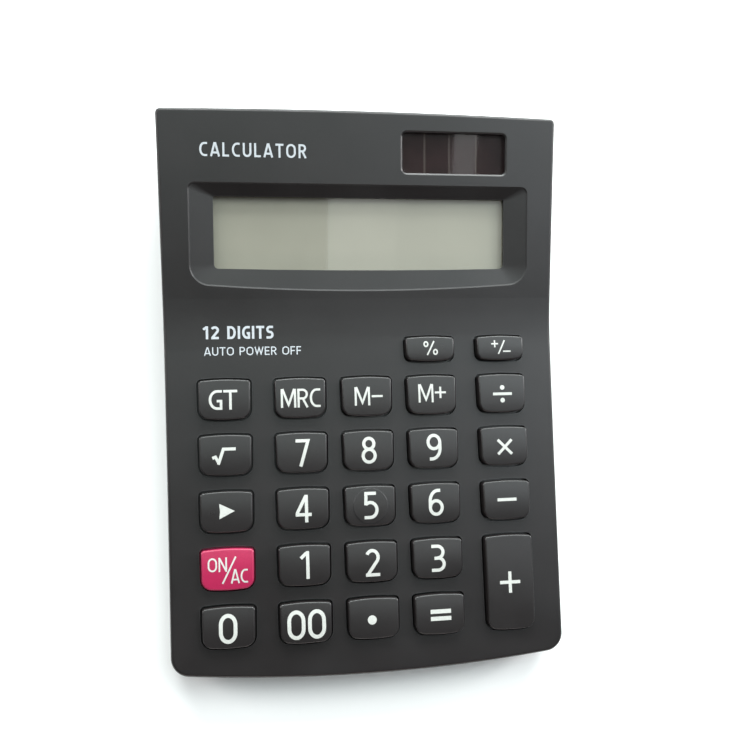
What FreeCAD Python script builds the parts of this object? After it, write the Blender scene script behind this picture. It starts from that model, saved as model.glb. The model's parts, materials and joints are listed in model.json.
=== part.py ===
import FreeCAD, Part
import math
import os
from FreeCAD import Placement, Rotation
from FreeCAD import Vector as V

# Mini-desk calculator: wedge-shaped two-part case, tilted display, sprung keys.
# World frame: +X right, +Y away from the user, +Z up, millimetres.
# Origin: centre of the footprint, on the plane the feet stand on.

# ---- driving dimensions -------------------------------------------------
ALPHA = 4.5          # keyboard plane above horizontal, degrees
DELTA = 9.5          # display plane above the keyboard plane, degrees
Z_FRONT = 10.6       # height of the front top edge
Y_APEX = -74.95      # front edge on the keyboard plane, at x = 0
Y_BEND = 15.16       # where keyboard and display planes meet
S_REAR = 54.5        # display plane length at the sides
REAR_BOW = 0.7       # extra length of the display plane at x = 0
BEND_R = 80.0        # radius of the soft bend between the two planes
HW_FRONT, HW_BEND, HW_REAR = 50.82, 51.50, 52.35   # half widths
FRONT_R = 442.0      # bow of the front edge
CORNER_F, CORNER_R = 4.8, 1.3                      # plan corner radii
EDGE_R = 0.8         # rounding of the top edge
WALL = 1.8
Z_PART = -5.6        # parting plane, measured normal to the keyboard plane
STEP_IN = 0.5        # lower case stands in by this much at the parting plane
Z_FLOOR = 1.2        # underside of the lower case above the desk
FLOOR_T = 1.8
FOOT_R, FOOT_SINK = 4.0, 0.6

KEY_RISE = 2.0       # key crown above the deck
KEY_GAP = 0.5        # gap round a key in its opening
KEY_FLANGE = 0.9     # flange beyond the key side
KEY_TRAVEL = 1.2
PAD_R, PAD_RISE = 4.5, 0.2   # locating pad on the 5
COL_X = [-36.5, -17.3, 0.0, 17.3, 36.5]
KEY_W, KEY_W5 = 13.1, 12.8
KEY_H, KEY_H0 = 10.26, 6.58
ROW_TOP = [11.38, 1.04, -13.0, -27.2, -41.45, -55.7]

SHEET_TOP, SHEET_BOT = -4.8, -5.4    # silicone dome sheet
DOME_TOP = -3.3
PCB_TOP, PCB_BOT = -5.4, -6.6
PCB_HX, PCB_Y0, PCB_Y1 = 42.5, -69.5, 16.5

REC_HX, REC_TOP = 44.4, 35.85        # bezel recess
REC_BOT_MID, REC_BOT_END = 8.9, 10.3
WIN_HX, WIN_TOP, WIN_BOT_MID, WIN_BOT_END = 38.5, 32.8, 14.0, 14.4
REC_LIP, REC_DEPTH = 0.25, 1.25
SOL_X0, SOL_X1, SOL_S0, SOL_S1, SOL_R = 10.5, 38.6, 39.3, 49.9, 1.3

CELL_R, CELL_L = 5.25, 43.7          # AAA cell, body
CELL_Y, CELL_Z = 54.0, 8.6
DOOR_TRAVEL = 24.0

os.makedirs("parts", exist_ok=True)

ca, sa = math.cos(math.radians(ALPHA)), math.sin(math.radians(ALPHA))
cb, sb = math.cos(math.radians(ALPHA + DELTA)), math.sin(math.radians(ALPHA + DELTA))
HOR = (Y_BEND - Y_APEX) * ca + (S_REAR + REAR_BOW) * cb   # overall depth
Y0W = -HOR / 2
CY = Y0W - Y_APEX * ca
CZ = Z_FRONT - Y_APEX * sa
DECK = Placement(V(0, CY, CZ), Rotation(V(1, 0, 0), ALPHA))
DISP = DECK.multiply(Placement(V(0, Y_BEND, 0), Rotation(V(1, 0, 0), DELTA)))


def place(shape, frame):
    s = shape.copy()
    s.Placement = frame.multiply(s.Placement)
    return s


def box(x0, x1, y0, y1, z0, z1):
    return Part.makeBox(x1 - x0, y1 - y0, z1 - z0, V(x0, y0, z0))


def cyl(r, x, y, z0, z1):
    return Part.makeCylinder(r, z1 - z0, V(x, y, z0))


def cone(r0, r1, x, y, z0, z1):
    return Part.makeCone(r0, r1, z1 - z0, V(x, y, z0))


def line(a, b):
    return Part.LineSegment(a, b).toShape()


def arc(a, m, b):
    return Part.Arc(a, m, b).toShape()


def fuse(shapes):
    first = shapes[0]
    return first.multiFuse(shapes[1:]) if len(shapes) > 1 else first


def solid_of(shape):
    s = shape.removeSplitter()
    if s.ShapeType == "Solid":
        return s
    if len(s.Solids) == 1:
        return s.Solids[0]
    return s


def rbox(x0, x1, y0, y1, z0, z1, r):
    b = box(x0, x1, y0, y1, z0, z1)
    edges = [e for e in b.Edges if abs(e.Vertexes[0].Point.z - e.Vertexes[1].Point.z) > 1e-6]
    return b.makeFillet(r, edges)


def vertical(solid):
    out = []
    for e in solid.Edges:
        if len(e.Vertexes) == 2:
            a, b = e.Vertexes[0].Point, e.Vertexes[1].Point
            if abs(a.x - b.x) < 1e-6 and abs(a.y - b.y) < 1e-6:
                out.append(e)
    return out


def tube(points, r, bend):
    """Round wire along straight runs joined by tangent arcs."""
    p = [V(*q) for q in points]
    edges = []
    last = p[0]
    for i in range(1, len(p) - 1):
        u = (p[i - 1] - p[i]).normalize()
        w = (p[i + 1] - p[i]).normalize()
        turn = math.pi - u.getAngle(w)
        cut = 0.45 * min((p[i - 1] - p[i]).Length, (p[i + 1] - p[i]).Length)
        rad = min(bend, cut / math.tan(turn / 2))
        t = rad * math.tan(turn / 2)
        a, b = p[i] + u * t, p[i] + w * t
        mid_dir = (u + w).normalize()
        c = p[i] + mid_dir * (rad / math.cos(turn / 2))
        m = c - mid_dir * rad
        edges += [line(last, a), arc(a, m, b)]
        last = b
        print("wire bend radius", round(rad, 2))
    edges.append(line(last, p[-1]))
    path = Part.Wire(edges)
    prof = Part.Wire(Part.Circle(p[0], (p[1] - p[0]).normalize(), r).toShape())
    s = path.makePipeShell([prof], True, False)
    print("wire volume", round(s.Volume, 2), "expected", round(math.pi * r * r * path.Length, 2))
    return s


# ---- plan outline of the case -------------------------------------------
def circle3(a, m, b):
    """Centre and radius of the circle through three plan points."""
    d = 2 * (a.x * (m.y - b.y) + m.x * (b.y - a.y) + b.x * (a.y - m.y))
    qa, qm, qb = a.x ** 2 + a.y ** 2, m.x ** 2 + m.y ** 2, b.x ** 2 + b.y ** 2
    cx = (qa * (m.y - b.y) + qm * (b.y - a.y) + qb * (a.y - m.y)) / d
    cy = (qa * (b.x - m.x) + qm * (a.x - b.x) + qb * (m.x - a.x)) / d
    c = V(cx, cy, 0)
    return c, (a - c).Length


def meet(c0, r0, c1, r1, near):
    """The crossing of two circles that lies nearest a point."""
    d = (c1 - c0).Length
    along = (d * d + r0 * r0 - r1 * r1) / (2 * d)
    h = math.sqrt(max(0.0, r0 * r0 - along * along))
    u = (c1 - c0) * (1 / d)
    p = c0 + u * along
    q = V(-u.y, u.x, 0) * h
    return min((p + q, p - q), key=lambda w: (w - near).Length)


def outline(inset=0.0):
    """Closed plan wire: front bow, flared sides, rear bow, stood in by inset."""
    yr = Y0W + (Y_BEND - Y_APEX) * ca + S_REAR * cb
    yb = Y0W + (Y_BEND - Y_APEX) * ca
    yf = Y0W + (HW_FRONT ** 2) / (2 * FRONT_R) * ca
    fl, fr = V(-HW_FRONT, yf, 0), V(HW_FRONT, yf, 0)
    rl, rr = V(-HW_REAR, yr, 0), V(HW_REAR, yr, 0)
    sides = [
        (fl, V(0, Y0W, 0), fr),
        (fr, V(HW_BEND, yb, 0), rr),
        (rr, V(0, Y0W + HOR, 0), rl),
        (rl, V(-HW_BEND, yb, 0), fl),
    ]
    new = []
    for p, m, q in sides:
        c, r = circle3(p, m, q)
        n = (c - m) * (1 / r)
        if n.dot(V(0, 0, 0) - m) < 0:
            n = n * -1
        mid = m + n * inset
        new.append((c, (mid - c).Length, mid))
    corners = [meet(new[i - 1][0], new[i - 1][1], new[i][0], new[i][1], sides[i][0]) for i in range(4)]
    return [arc(corners[i], new[i][2], corners[(i + 1) % 4]) for i in range(4)]


def plan_solid(z0, z1, inset=0.0, rear_r=None):
    """Prism of the outline with rounded plan corners, stood in by inset."""
    s = Part.Face(Part.Wire(outline(inset))).extrude(V(0, 0, z1 - z0))
    s.translate(V(0, 0, z0))
    s = s.makeFillet(max(0.6, CORNER_F - inset), [e for e in vertical(s) if e.Vertexes[0].Point.y < 0])
    rear = [e for e in vertical(s) if e.Vertexes[0].Point.y > 50 and abs(e.Vertexes[0].Point.x) > 40]
    return s.makeFillet(rear_r or max(0.5, CORNER_R - inset), rear)


# ---- side profile of the case -------------------------------------------
def profile_solid(drop):
    """Everything under the two top planes lowered by drop, as a long prism in X."""
    t = BEND_R * math.tan(math.radians(DELTA / 2))

    def deck_pt(y):
        return DECK.multVec(V(0, y, -drop))

    def disp_pt(s):
        return DISP.multVec(V(0, s, -drop))

    # meeting point of the two lowered planes
    dy = drop * math.tan(math.radians(DELTA / 2))
    a = deck_pt(Y_APEX - 20)
    p0 = deck_pt(Y_BEND + dy - t)
    p1 = DISP.multVec(V(0, dy + t, -drop)) if False else DISP.multVec(V(0, t - dy, -drop)) if False else None
    corner = deck_pt(Y_BEND + dy)
    up = DISP.multVec(V(0, 100, -drop)) - DISP.multVec(V(0, 0, -drop))
    up.normalize()
    along = deck_pt(1.0) - deck_pt(0.0)
    along.normalize()
    p0 = corner - along * t
    p1 = corner + up * t
    # arc middle: centre lies above the planes, on the bisector
    n = (V(up) - V(along)).normalize()
    c = corner + n * (BEND_R / math.cos(math.radians(DELTA / 2)))
    m = c - n * BEND_R
    b = corner + up * 90
    edges = [
        line(a, p0), arc(p0, m, p1), line(p1, b),
        line(b, V(0, b.y, -40)), line(V(0, b.y, -40), V(0, a.y, -40)), line(V(0, a.y, -40), a),
    ]
    face = Part.Face(Part.Wire(edges))
    s = face.extrude(V(140, 0, 0))
    s.translate(V(-70, 0, 0))
    return s


outer = plan_solid(-5, 45).common(profile_solid(0.0))
outer = solid_of(outer)
top_edges = []
for e in outer.Edges:
    faces = outer.ancestorsOfShape(e, Part.Face) if hasattr(outer, "ancestorsOfShape") else []
    zs = [v.Point.z for v in e.Vertexes]
    if min(zs) < -1:
        continue
    if abs(e.Vertexes[0].Point.y - e.Vertexes[-1].Point.y) < 1e-6 and abs(e.BoundBox.YLength) < 1e-3:
        continue  # seams across the top between the planes
    if e.BoundBox.ZLength > 20:
        continue
    top_edges.append(e)
try:
    rounded = outer.makeFillet(EDGE_R, top_edges)
    if rounded.isValid() and rounded.Volume > 0.98 * outer.Volume:
        outer = rounded
        print("top edge rounded")
except Exception as err:
    print("top edge left sharp:", err)

below_part = place(box(-80, 80, -120, 120, -60, Z_PART), DECK)
above_part = place(box(-80, 80, -120, 120, Z_PART, 60), DECK)

inner = plan_solid(-6, 46, WALL).common(profile_solid(WALL))
shell = outer.cut(inner).cut(below_part)


# ---- keys ---------------------------------------------------------------
def key_face(w, h, grow, r_top, r_bot, sag_top=0.4, sag_bot=0.5, taper=0.15):
    """Plan prism of a key: arched top edge, bowed bottom edge, softer lower corners."""
    hw, hb = w / 2 + grow, w / 2 - taper + grow
    t, b = h / 2 + grow, -h / 2 - grow
    edges = [
        arc(V(-hw, t - sag_top, 0), V(0, t, 0), V(hw, t - sag_top, 0)),
        line(V(hw, t - sag_top, 0), V(hb, b + sag_bot, 0)),
        arc(V(hb, b + sag_bot, 0), V(0, b, 0), V(-hb, b + sag_bot, 0)),
        line(V(-hb, b + sag_bot, 0), V(-hw, t - sag_top, 0)),
    ]
    s = Part.Face(Part.Wire(edges)).extrude(V(0, 0, 1))
    ups = [e for e in vertical(s) if e.Vertexes[0].Point.y > 0]
    s = s.makeFillet(max(0.3, r_top + grow), ups)
    lows = [e for e in vertical(s) if e.Vertexes[0].Point.y < b / 2 and abs(e.Vertexes[0].Point.x) > 0.8 * hb]
    s = s.makeFillet(max(0.3, r_bot + grow), lows)
    return [f for f in s.Faces if abs(f.CenterOfMass.z) < 1e-6][0]


def prism(face, z0, z1):
    f = face.copy()
    f.translate(V(0, 0, z0))
    return f.extrude(V(0, 0, z1 - z0))


def make_key(w, h, r_top, r_bot, plungers, pad):
    """One key cap at the deck origin: hollow crowned cap, retaining flange, plunger."""
    body = prism(key_face(w, h, 0, r_top, r_bot), -2.7, KEY_RISE + 1)
    crown_r = (h / 2) ** 2 / (2 * 0.32)
    crown = Part.makeCylinder(crown_r, 60, V(-30, 0, KEY_RISE - crown_r), V(1, 0, 0))
    body = body.common(crown)
    tops = [
        e for e in body.Edges
        if min(v.Point.z for v in e.Vertexes) > 0.8 and len(e.Vertexes) == 2
    ]
    body = body.makeFillet(0.42, tops)
    hollow = prism(key_face(w, h, -1.1, r_top, r_bot), -3.0, 0.55)
    flange = prism(key_face(w, h, KEY_FLANGE, r_top, r_bot), -2.7, -1.9)
    cap = body.fuse(flange).cut(hollow)
    for py in plungers:
        cap = cap.fuse(cyl(1.9, 0, py, -3.25, 0.9))
        cap = cap.fuse(box(-w / 2 + 0.6, w / 2 - 0.6, py - 0.35, py + 0.35, -1.6, 0.9))
    if pad:
        # the round locating pad of the middle digit, proud of the crown
        lift = crown_r + PAD_RISE
        disc = cyl(PAD_R, 0, 0.05, 1.0, 3.0).common(
            Part.makeCylinder(lift, 60, V(-30, 0, KEY_RISE - crown_r), V(1, 0, 0)))
        rim = [e for e in disc.Edges if min(v.Point.z for v in e.Vertexes) > 1.3 and e.Length > 5]
        cap = cap.fuse(disc.makeFillet(0.12, rim))
    return solid_of(cap)


def row_y(i):
    h = KEY_H0 if i == 0 else KEY_H
    return ROW_TOP[i] - h / 2


TALL_H = KEY_H + (ROW_TOP[4] - ROW_TOP[5])
layout = []   # name, column, centre y, height, plunger offsets
names = {
    0: {3: "key_percent", 4: "key_sign"},
    1: {0: "key_gt", 1: "key_mrc", 2: "key_m_minus", 3: "key_m_plus", 4: "key_divide"},
    2: {0: "key_sqrt", 1: "key_7", 2: "key_8", 3: "key_9", 4: "key_multiply"},
    3: {0: "key_backspace", 1: "key_4", 2: "key_5", 3: "key_6", 4: "key_minus"},
    4: {0: "key_on_ac", 1: "key_1", 2: "key_2", 3: "key_3"},
    5: {0: "key_0", 1: "key_00", 2: "key_dot", 3: "key_equals"},
}
for r, cols in names.items():
    for c, name in cols.items():
        layout.append((name, c, row_y(r), KEY_H0 if r == 0 else KEY_H, [0.0]))
tall_y = (row_y(4) + row_y(5)) / 2
layout.append(("key_plus", 4, tall_y, TALL_H, [row_y(4) - tall_y, row_y(5) - tall_y]))

protos = {}
openings = []
dome_at = []
for name, c, y, h, plungers in layout:
    w = KEY_W5 if c == 4 else KEY_W
    small = h == KEY_H0
    rt, rb = (0.7, 1.8) if small else (0.8, 2.5)
    pad = name == "key_5"
    kind = (w, h, pad)
    if kind not in protos:
        protos[kind] = make_key(w, h, rt, rb, plungers, pad)
    key = protos[kind].copy()
    at = DECK.multiply(Placement(V(COL_X[c], y, 0), Rotation()))
    key.Placement = at.multiply(key.Placement)
    key.exportStep("parts/%s.step" % name)
    hole = prism(key_face(w, h, KEY_GAP, rt, rb), -4.0, 3.0)
    openings.append(place(hole, at))
    dome_at += [(COL_X[c], y + p) for p in plungers]

# ---- display recess, window seats ---------------------------------------
def rec_wire(hx, top, bot_mid, bot_end, r_top, r_bot, z):
    """Closed wire in the display plane with a bowed lower edge, eight edges."""
    e = hx - r_bot
    # the lower bow passes (0, bot_mid) and (+-e, bot_end)
    k = math.sqrt(0.5)
    pts = {
        "tl": V(-hx + r_top, top, z), "tr": V(hx - r_top, top, z),
        "rt": V(hx, top - r_top, z), "rb": V(hx, bot_end + r_bot, z),
        "br": V(e, bot_end, z), "bl": V(-e, bot_end, z),
        "lb": V(-hx, bot_end + r_bot, z), "lt": V(-hx, top - r_top, z),
    }
    return Part.Wire([
        line(pts["tl"], pts["tr"]),
        arc(pts["tr"], V(hx - r_top + r_top * k, top - r_top + r_top * k, z), pts["rt"]),
        line(pts["rt"], pts["rb"]),
        arc(pts["rb"], V(e + r_bot * k, bot_end + r_bot - r_bot * k, z), pts["br"]),
        arc(pts["br"], V(0, bot_mid, z), pts["bl"]),
        arc(pts["bl"], V(-e - r_bot * k, bot_end + r_bot - r_bot * k, z), pts["lb"]),
        line(pts["lb"], pts["lt"]),
        arc(pts["lt"], V(-hx + r_top - r_top * k, top - r_top + r_top * k, z), pts["tl"]),
    ])


rec_out = dict(hx=REC_HX, top=REC_TOP, bot_mid=REC_BOT_MID, bot_end=REC_BOT_END, r_top=1.5, r_bot=5.0)
rec_in = dict(hx=WIN_HX, top=WIN_TOP, bot_mid=WIN_BOT_MID, bot_end=WIN_BOT_END, r_top=0.5, r_bot=1.1)
lip_cut = Part.Face(rec_wire(z=-REC_LIP, **rec_out)).extrude(V(0, 0, 3))
# shallow softened rim round the recess
rec_rim = dict(hx=REC_HX + 0.4, top=REC_TOP + 0.4, bot_mid=REC_BOT_MID - 0.4, bot_end=REC_BOT_END - 0.4, r_top=1.9, r_bot=5.4)
rim = Part.makeLoft([rec_wire(z=-0.18, **rec_out), rec_wire(z=0.02, **rec_rim)], True, True)
funnel = Part.makeLoft([rec_wire(z=-REC_LIP, **rec_out), rec_wire(z=-REC_DEPTH, **rec_in)], True, True)
win_cut = Part.Face(rec_wire(z=-REC_DEPTH, **rec_in)).extrude(V(0, 0, -3))
win_cut = win_cut.fuse(Part.Face(rec_wire(z=-REC_DEPTH, **rec_in)).extrude(V(0, 0, 0.02)))
win_seat = rbox(-40.2, 40.2, 12.4, 34.4, -4.5, -2.15, 0.8)

pad = box(-47.8, 47.8, 6.6, 38.0, -3.2, -0.9)
sol_pad = box(7.6, 41.6, 37.4, 52.0, -3.2, -0.9)
sol_cut = rbox(SOL_X0, SOL_X1, SOL_S0, SOL_S1, -4.5, 2.0, SOL_R)
sol_seat = rbox(9.2, 39.9, 38.0, 51.2, -4.5, -1.0, 0.8)
# softened mouth of the solar window
mouth = Part.makeLoft([
    Part.Wire(rbox(SOL_X0 - 0.45, SOL_X1 + 0.45, SOL_S0 - 0.45, SOL_S1 + 0.45, 0, 1, SOL_R + 0.45).Faces[0].Edges[:0] or
              [f for f in rbox(SOL_X0 - 0.45, SOL_X1 + 0.45, SOL_S0 - 0.45, SOL_S1 + 0.45, 0.02, 1, SOL_R + 0.45).Faces
               if abs(f.CenterOfMass.z - 0.02) < 1e-6][0].OuterWire.Edges),
    Part.Wire([f for f in rbox(SOL_X0, SOL_X1, SOL_S0, SOL_S1, -0.24, 1, SOL_R).Faces
               if abs(f.CenterOfMass.z + 0.24) < 1e-6][0].OuterWire.Edges),
], True, True)

# ribs that steer the key flanges, bosses for the board and the case screws
ribs = []
for x in (-26.9, -8.65, 8.65, 26.9):
    ribs.append(box(x - 0.4, x + 0.4, -67.4, 2.6, -4.6, -1.0))
for i in range(1, 5):
    y = (ROW_TOP[i] - KEY_H + ROW_TOP[i + 1]) / 2
    ribs.append(box(-44.4, 26.9 if i == 4 else 44.0, y - 0.35, y + 0.35, -4.6, -1.0))
ribs.append(box(8.65, 44.0, 2.92 - 0.35, 2.92 + 0.35, -4.6, -1.0))
pcb_screw_at = [(sx * 26.9, y) for sx in (-1, 1) for y in (6.0, -18.13, -39.45, -62.5)]
bosses = [cyl(1.75, x, y, PCB_TOP, -1.0) for x, y in pcb_screw_at]
boss_holes = [cyl(0.85, x, y, PCB_TOP - 1, -1.6) for x, y in pcb_screw_at]

# case screws, upright: (x, world y, height of the boss end)
def deck_world(y, z=0.0):
    p = DECK.multVec(V(0, y, z))
    return p.y, p.z


def disp_world(s, z=0.0):
    p = DISP.multVec(V(0, s, z))
    return p.y, p.z


case_screw_at = []
for sx in (-1, 1):
    case_screw_at.append((sx * 46.2, deck_world(-61.5)[0], 6.0))
    case_screw_at.append((sx * 46.2, deck_world(-11.1)[0], 8.6))
    case_screw_at.append((sx * 45.2, disp_world(44.5)[0], 13.5))
case_boss, case_boss_hole = [], []
for x, y, zb in case_screw_at:
    case_boss.append(cyl(2.1, x, y, zb, 33.0))
    case_boss_hole.append(cyl(1.05, x, y, zb - 1, zb + 6.5 if zb > 7 else zb + 3.6))

inside = plan_solid(-6, 46, WALL - 0.6).common(profile_solid(WALL - 0.6))
extras = fuse([place(pad, DISP), place(sol_pad, DISP)] + [place(s, DECK) for s in ribs + bosses] + case_boss)
extras = extras.common(inside)
front = shell.fuse(extras)
cuts = [place(s, DISP) for s in (lip_cut, rim, funnel, win_cut, win_seat, sol_cut, sol_seat, mouth)]
cuts += [place(s, DECK) for s in boss_holes] + case_boss_hole + openings
# pilot holes for the display retainer
lcd_screw_at = [(sx * 45.9, s) for sx in (-1, 1) for s in (14.0, 31.5)]
cuts += [place(cyl(0.85, x, s, -4.0, -1.35), DISP) for x, s in lcd_screw_at]
for c in cuts:
    front = front.cut(c)
front = solid_of(front)
print("front housing solids", len(front.Solids), "valid", front.isValid())
front.exportStep("parts/front_housing.step")

# ---- windows, display stack ---------------------------------------------
def out(shape, name, frame=None):
    s = place(shape, frame) if frame else shape
    s.exportStep("parts/%s.step" % name)
    return s


out(rbox(-40.0, 40.0, 12.6, 34.2, -3.15, -2.15, 0.7), "display_window", DISP)
out(rbox(9.4, 39.7, 38.2, 51.0, -2.0, -1.0, 0.7), "solar_window", DISP)
out(box(-39.2, 39.2, 13.2, 33.6, -3.42, -3.22), "lcd_polariser", DISP)
lcd = box(-41.0, 41.0, 11.0, 35.0, -3.97, -3.42).fuse(box(-41.0, 41.0, 13.4, 35.0, -4.52, -3.97))
out(solid_of(lcd), "lcd_cell", DISP)
out(box(-39.6, 39.6, 14.0, 34.2, -4.7, -4.52), "lcd_reflector", DISP)

ret = box(-43.0, 43.0, 9.3, 36.7, -6.0, -3.25)
ret = ret.fuse(box(7.8, 41.4, 36.0, 51.4, -6.0, -4.8))
ret = ret.cut(box(-41.25, 41.25, 10.8, 35.25, -4.75, -3.0))
ret = ret.cut(box(-30.0, 30.0, 9.0, 11.0, -4.75, -3.0))
ret = ret.cut(box(-34.0, 4.0, 15.0, 31.5, -7.0, -4.0))
ret = ret.cut(box(7.0, 13.4, 38.0, 52.0, -7.0, -4.0))
for x, s in lcd_screw_at:
    sx = 1 if x > 0 else -1
    ear = rbox(min(sx * 42.0, sx * 47.7), max(sx * 42.0, sx * 47.7), s - 2.6, s + 2.6, -4.75, -3.25, 0.8)
    ret = ret.fuse(ear).cut(cyl(1.05, x, s, -7, -2))
out(solid_of(ret), "lcd_retainer", DISP)

lcd_screws = []
for x, s in lcd_screw_at:
    sc = cyl(0.8, x, s, -4.75, -1.5).fuse(cyl(1.6, x, s, -5.9, -4.75))
    sc = sc.cut(box(x - 1.1, x + 1.1, s - 0.2, s + 0.2, -6.0, -5.4)).cut(box(x - 0.2, x + 0.2, s - 1.1, s + 1.1, -6.0, -5.4))
    lcd_screws.append(solid_of(sc))
out(Part.makeCompound(lcd_screws), "lcd_screws", DISP)

out(box(9.8, 39.3, 38.6, 50.6, -3.1, -2.02), "solar_cell", DISP)
out(box(14.0, 39.0, 39.2, 50.2, -4.8, -3.1), "solar_pad", DISP)

# heat-seal ribbon from the display ledge down to the board, drawn in the deck frame
def d2k(s, z):
    r = math.radians(DELTA)
    return (Y_BEND + s * math.cos(r) - z * math.sin(r), s * math.sin(r) + z * math.cos(r))


T = 0.16
a = d2k(13.0, -3.97)
b = d2k(9.4, -3.97)
path = [a, b, (17.6, PCB_TOP + T), (13.3, PCB_TOP + T)]
# lower side, found by stepping each segment's normal
low = [d2k(13.0, -3.97 - T), d2k(9.4, -3.97 - T), (17.6 + 0.12, PCB_TOP), (13.3, PCB_TOP)]
poly = [V(0, y, z) for y, z in path + low[::-1]]
ribbon = Part.Face(Part.makePolygon(poly + [poly[0]])).extrude(V(56, 0, 0))
ribbon.translate(V(-28, 0, 0))
out(ribbon, "lcd_ribbon", DECK)

# ---- dome sheet, board and what is soldered to it -------------------------
sheet = rbox(-43.2, 43.2, -68.2, 12.9, SHEET_BOT, SHEET_TOP, 2.0)
for x, y in dome_at:
    sheet = sheet.fuse(cone(3.7, 2.2, x, y, SHEET_TOP, DOME_TOP))
for x, y in dome_at:
    sheet = sheet.cut(cone(3.2, 1.6, x, y, SHEET_BOT, -3.9).fuse(cyl(3.2, x, y, SHEET_BOT - 0.5, SHEET_BOT)))
for x, y in pcb_screw_at:
    sheet = sheet.cut(cyl(2.0, x, y, -7, 0))
out(solid_of(sheet), "dome_sheet", DECK)

pcb = rbox(-PCB_HX, PCB_HX, PCB_Y0, PCB_Y1, PCB_BOT, PCB_TOP, 2.0)
for x, y in pcb_screw_at:
    pcb = pcb.cut(cyl(1.15, x, y, -8, 0))
out(solid_of(pcb), "main_pcb", DECK)
screws = []
for x, y in pcb_screw_at:
    s = cyl(0.8, x, y, PCB_BOT, -2.1).fuse(cyl(1.8, x, y, PCB_BOT - 1.1, PCB_BOT))
    s = s.cut(box(x - 1.2, x + 1.2, y - 0.2, y + 0.2, PCB_BOT - 1.2, PCB_BOT - 0.6))
    s = s.cut(box(x - 0.2, x + 0.2, y - 1.2, y + 1.2, PCB_BOT - 1.2, PCB_BOT - 0.6))
    screws.append(solid_of(s))
out(Part.makeCompound(screws), "pcb_screws", DECK)
blob = Part.makeSphere(9.0, V(0, -12.0, PCB_BOT + 7.6)).common(box(-9, 9, -22, 0, PCB_BOT - 3, PCB_BOT))
out(solid_of(blob), "chip_blob", DECK)
cap = Part.makeCylinder(2.0, 5.5, V(12.0, 4.0, PCB_BOT - 2.1), V(1, 0, 0))
cap = cap.makeFillet(0.4, [e for e in cap.Edges if e.Curve.TypeId == "Part::GeomCircle"])
out(solid_of(cap), "capacitor", DECK)
parts = []
for x, y in ((-14.0, 5.0), (-14.0, 1.5), (-14.0, -2.0)):
    parts.append(Part.makeCylinder(0.75, 3.6, V(x, y, PCB_BOT - 0.8), V(1, 0, 0)))
out(Part.makeCompound(parts), "diodes", DECK)

# ---- lower case -----------------------------------------------------------
def low_edges(solid, z):
    return [e for e in solid.Edges if abs(e.BoundBox.ZMax - z) < 1e-3 and abs(e.BoundBox.ZMin - z) < 1e-3]


low_out = plan_solid(Z_FLOOR, 45, STEP_IN, 3.4)
low_out = low_out.makeFillet(2.4, low_edges(low_out, Z_FLOOR)).cut(above_part)
low_in = plan_solid(Z_FLOOR + FLOOR_T, 46, STEP_IN + WALL, 1.7)
rear = low_out.cut(low_in)
# register lip inside the upper case wall
lip_band = place(box(-80, 80, -120, 120, Z_PART - 3.0, Z_PART + 2.0), DECK)
lip = plan_solid(1.6, 44, WALL + 0.15, 1.9).cut(plan_solid(1.5, 46, WALL + 1.15, 0.9)).common(lip_band)
for x, y, zb in case_screw_at:
    lip = lip.cut(cyl(2.4, x, y, -5, 40))
rear = rear.fuse(lip)

posts = []
for x, y, zb in case_screw_at:
    posts.append(cyl(3.4, x, y, Z_FLOOR + 0.5, zb))
# battery box: walls and roof
BX, BY0, BY1, BZ = 27.6, 47.9, 60.1, 14.2
bat = box(-BX - 1.2, BX + 1.2, BY0 - 1.2, BY1 + 1.2, Z_FLOOR + 0.4, BZ + 1.2)
rail = [box(sx * 27.5 if sx > 0 else -30.6, 30.6 if sx > 0 else -27.5, BY0 - 1.2, 68.0, Z_FLOOR + 0.6, 4.8) for sx in (-1, 1)]
# stiffening ribs on the floor
fl = [box(-0.6, 0.6, -60.0, BY0 - 1.0, Z_FLOOR + 1.0, Z_FLOOR + FLOOR_T + 0.5),
      box(-38, 38, -44.6, -43.4, Z_FLOOR + 1.0, Z_FLOOR + FLOOR_T + 0.5),
      box(-38, 38, -6.6, -5.4, Z_FLOOR + 1.0, Z_FLOOR + FLOOR_T + 2.0),
      box(-38, 38, 27.4, 28.6, Z_FLOOR + 1.0, Z_FLOOR + FLOOR_T + 3.0)]
rear = rear.fuse(fuse(posts + [bat] + rail + fl).common(low_out))
rear = rear.cut(box(-BX, BX, BY0, BY1, -1, BZ))
# door way: floor opening, guide grooves, notch in the rear wall
rear = rear.cut(box(-27.5, 27.5, BY0 - 1.2, 80, -1, 3.05))
rear = rear.cut(box(-28.6, 28.6, BY0 - 1.2, 80, 2.05, 3.2))
rear = rear.cut(box(-27.5, 27.5, BY1 + 1.2, 80, -1, 8.4))
for x, y, zb in case_screw_at:
    rear = rear.cut(cyl(1.25, x, y, -1, zb + 1)).cut(cyl(2.15, x, y, -1, zb - 2.0))
FEET = [(-37.0, -62.0), (37.0, -62.0), (-36.4, 57.5), (36.4, 57.5)]
feet = []
for x, y in FEET:
    rear = rear.cut(cyl(FOOT_R + 0.15, x, y, -1, Z_FLOOR + FOOT_SINK))
    foot = cyl(FOOT_R, x, y, 0.0, Z_FLOOR + FOOT_SINK)
    foot = foot.makeFillet(0.4, [e for e in foot.Edges if e.BoundBox.ZMax < 0.01])
    feet.append(solid_of(foot))
# shallow blank label panel
rear = rear.cut(rbox(-30, 30, -22, 12, -1, Z_FLOOR + 0.3, 2.0))
# seats for the two contact plates
rear = solid_of(rear)
print("rear housing solids", len(rear.Solids), "valid", rear.isValid())
out(rear, "rear_housing")
out(Part.makeCompound(feet), "rubber_feet")

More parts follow.
